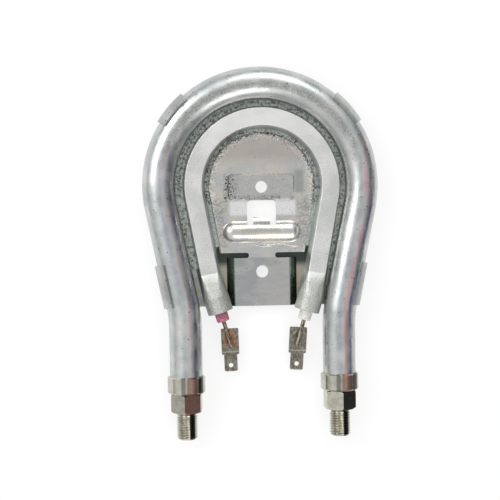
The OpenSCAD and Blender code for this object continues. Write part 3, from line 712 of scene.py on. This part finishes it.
def crease(name, x0, x1, y0, y1, width):
    """A thin low ridge with tapered ends along a slightly wavy line."""
    steps = 28
    sides = 8
    rings = []
    for i in range(steps + 1):
        t = i / steps
        swell = width * max(math.sin(math.pi * t), 0.04) ** 0.5
        x = x0 + (x1 - x0) * t
        y = y0 + (y1 - y0) * t + 0.25 * math.sin(9 * t + x0)
        rings.append([
            (x, y + swell * math.cos(2 * math.pi * k / sides), FACE_Z + 0.8 * swell * math.sin(2 * math.pi * k / sides))
            for k in range(sides)])
    verts = [p for ring in rings for p in ring]
    faces = [tuple(range(sides)), tuple(steps * sides + k for k in reversed(range(sides)))]
    for i in range(steps):
        for k in range(sides):
            n = (k + 1) % sides
            faces.append((i * sides + n, i * sides + k, (i + 1) * sides + k, (i + 1) * sides + n))
    add_piece(name, verts, faces, pressed_aluminium, 60)


crease("crease_left", -7.5, 7.2, 5.4, 3.4, 0.42)
crease("crease_right", 4.0, 18.0, 4.6, 2.7, 0.38)
crease("crease_low", -6.4, 5.6, 3.9, 2.5, 0.30)


# Floor, lamps and background

def any_of(tree, path, names):
    """The greatest of the named outputs of a Light Path node."""
    found = path.outputs[names[0]]
    for name in names[1:]:
        node = tree.nodes.new("ShaderNodeMath")
        node.operation = "MAXIMUM"
        tree.links.new(found, node.inputs[0])
        tree.links.new(path.outputs[name], node.inputs[1])
        found = node.outputs[0]
    return found


def floor():
    half = 1.5
    mesh = bpy.data.meshes.new("floor")
    mesh.from_pydata([(-half, -half, 0), (half, -half, 0), (half, half, 0), (-half, half, 0)], [], [(0, 1, 2, 3)])
    obj = bpy.data.objects.new("floor", mesh)
    bpy.context.scene.collection.objects.link(obj)
    material = bpy.data.materials.new("floor")
    material.use_nodes = True
    tree = material.node_tree
    tree.nodes.clear()
    out = tree.nodes.new("ShaderNodeOutputMaterial")
    matt = tree.nodes.new("ShaderNodeBsdfDiffuse")
    matt.inputs["Color"].default_value = (0.92, 0.92, 0.92, 1)
    white = tree.nodes.new("ShaderNodeEmission")
    path = tree.nodes.new("ShaderNodeLightPath")
    seen = any_of(tree, path, ("Is Camera Ray", "Is Glossy Ray", "Is Transmission Ray"))
    share = tree.nodes.new("ShaderNodeMath")
    share.operation = "MULTIPLY"
    tree.links.new(seen, share.inputs[0])
    share.inputs[1].default_value = 0.78
    both = tree.nodes.new("ShaderNodeMixShader")
    tree.links.new(share.outputs[0], both.inputs[0])
    tree.links.new(matt.outputs[0], both.inputs[1])
    tree.links.new(white.outputs[0], both.inputs[2])
    tree.links.new(both.outputs[0], out.inputs[0])
    mesh.materials.append(material)


def background():
    """White to the eye; a soft tent with a darker crown and right side to what it lights."""
    world = bpy.data.worlds.new("studio")
    bpy.context.scene.world = world
    world.use_nodes = True
    tree = world.node_tree
    tree.nodes.clear()
    out = tree.nodes.new("ShaderNodeOutputWorld")
    coord = tree.nodes.new("ShaderNodeTexCoord")
    split = tree.nodes.new("ShaderNodeSeparateXYZ")
    tree.links.new(coord.outputs["Generated"], split.inputs[0])
    crown = tree.nodes.new("ShaderNodeValToRGB")
    tree.links.new(split.outputs[2], crown.inputs[0])
    stops = ((0.0, 0.50), (0.22, 0.75), (0.55, 1.0), (0.84, 1.0), (0.94, 0.82), (1.0, 0.78))
    while len(crown.color_ramp.elements) < len(stops):
        crown.color_ramp.elements.new(0.5)
    for element, (position, level) in zip(crown.color_ramp.elements, stops):
        element.position = position
        element.color = (level, level, level, 1)
    dark = tree.nodes.new("ShaderNodeMapRange")
    dark.interpolation_type = "SMOOTHSTEP"
    tree.links.new(split.outputs[0], dark.inputs["Value"])
    for key, end in zip(("From Min", "From Max", "To Min", "To Max"), (0.45, 0.85, 1.0, 0.35)):
        dark.inputs[key].default_value = end
    tent = tree.nodes.new("ShaderNodeMix")
    tent.data_type = "RGBA"
    tent.blend_type = "MULTIPLY"
    tent.inputs[0].default_value = 1.0
    tree.links.new(crown.outputs[0], tent.inputs[6])
    tree.links.new(dark.outputs[0], tent.inputs[7])
    lit = tree.nodes.new("ShaderNodeBackground")
    tree.links.new(tent.outputs[2], lit.inputs[0])
    lit.inputs[1].default_value = 0.85
    white = tree.nodes.new("ShaderNodeBackground")
    path = tree.nodes.new("ShaderNodeLightPath")
    both = tree.nodes.new("ShaderNodeMixShader")
    tree.links.new(any_of(tree, path, ("Is Camera Ray", "Is Transmission Ray")), both.inputs[0])
    tree.links.new(lit.outputs[0], both.inputs[1])
    tree.links.new(white.outputs[0], both.inputs[2])
    tree.links.new(both.outputs[0], out.inputs[0])


def lamp(name, place, size, power):
    data = bpy.data.lights.new(name, "AREA")
    data.shape = "SQUARE"
    data.size = size
    data.energy = power
    obj = bpy.data.objects.new(name, data)
    obj.location = place
    aim = Vector((0, 0, 0)) - Vector(place)
    obj.rotation_euler = aim.to_track_quat("-Z", "Y").to_euler()
    bpy.context.scene.collection.objects.link(obj)


def camera():
    """The photograph's view: nearly straight down, from the left and the bend's side."""
    eye = Vector((-40.5, 29.5, 564.1)) * MM
    target = Vector((-5.4, 1.5, 8.0)) * MM
    roll = math.radians(-0.84)
    focal_px = 1169.4
    frame_px = 500
    data = bpy.data.cameras.new("camera")
    data.sensor_width = 36
    data.lens = focal_px / frame_px * data.sensor_width
    data.clip_start = 0.01
    obj = bpy.data.objects.new("camera", data)
    forward = (target - eye).normalized()
    right = forward.cross(Vector((0, 1, 0))).normalized()
    up = right.cross(forward)
    turned_right = right * math.cos(roll) + up * math.sin(roll)
    turned_up = up * math.cos(roll) - right * math.sin(roll)
    axes = Matrix((turned_right, turned_up, -forward)).transposed()
    obj.matrix_world = Matrix.Translation(eye) @ axes.to_4x4()
    bpy.context.scene.collection.objects.link(obj)
    bpy.context.scene.camera = obj


floor()
background()
lamp("lamp_left", (-0.55, 0.35, 0.62), 0.5, 3.2)
lamp("lamp_bend", (0.15, 0.75, 0.55), 0.5, 2.2)
lamp("lamp_front", (0.25, -0.65, 0.60), 0.5, 1.8)
camera()
bpy.context.scene.view_settings.view_transform = "Standard"
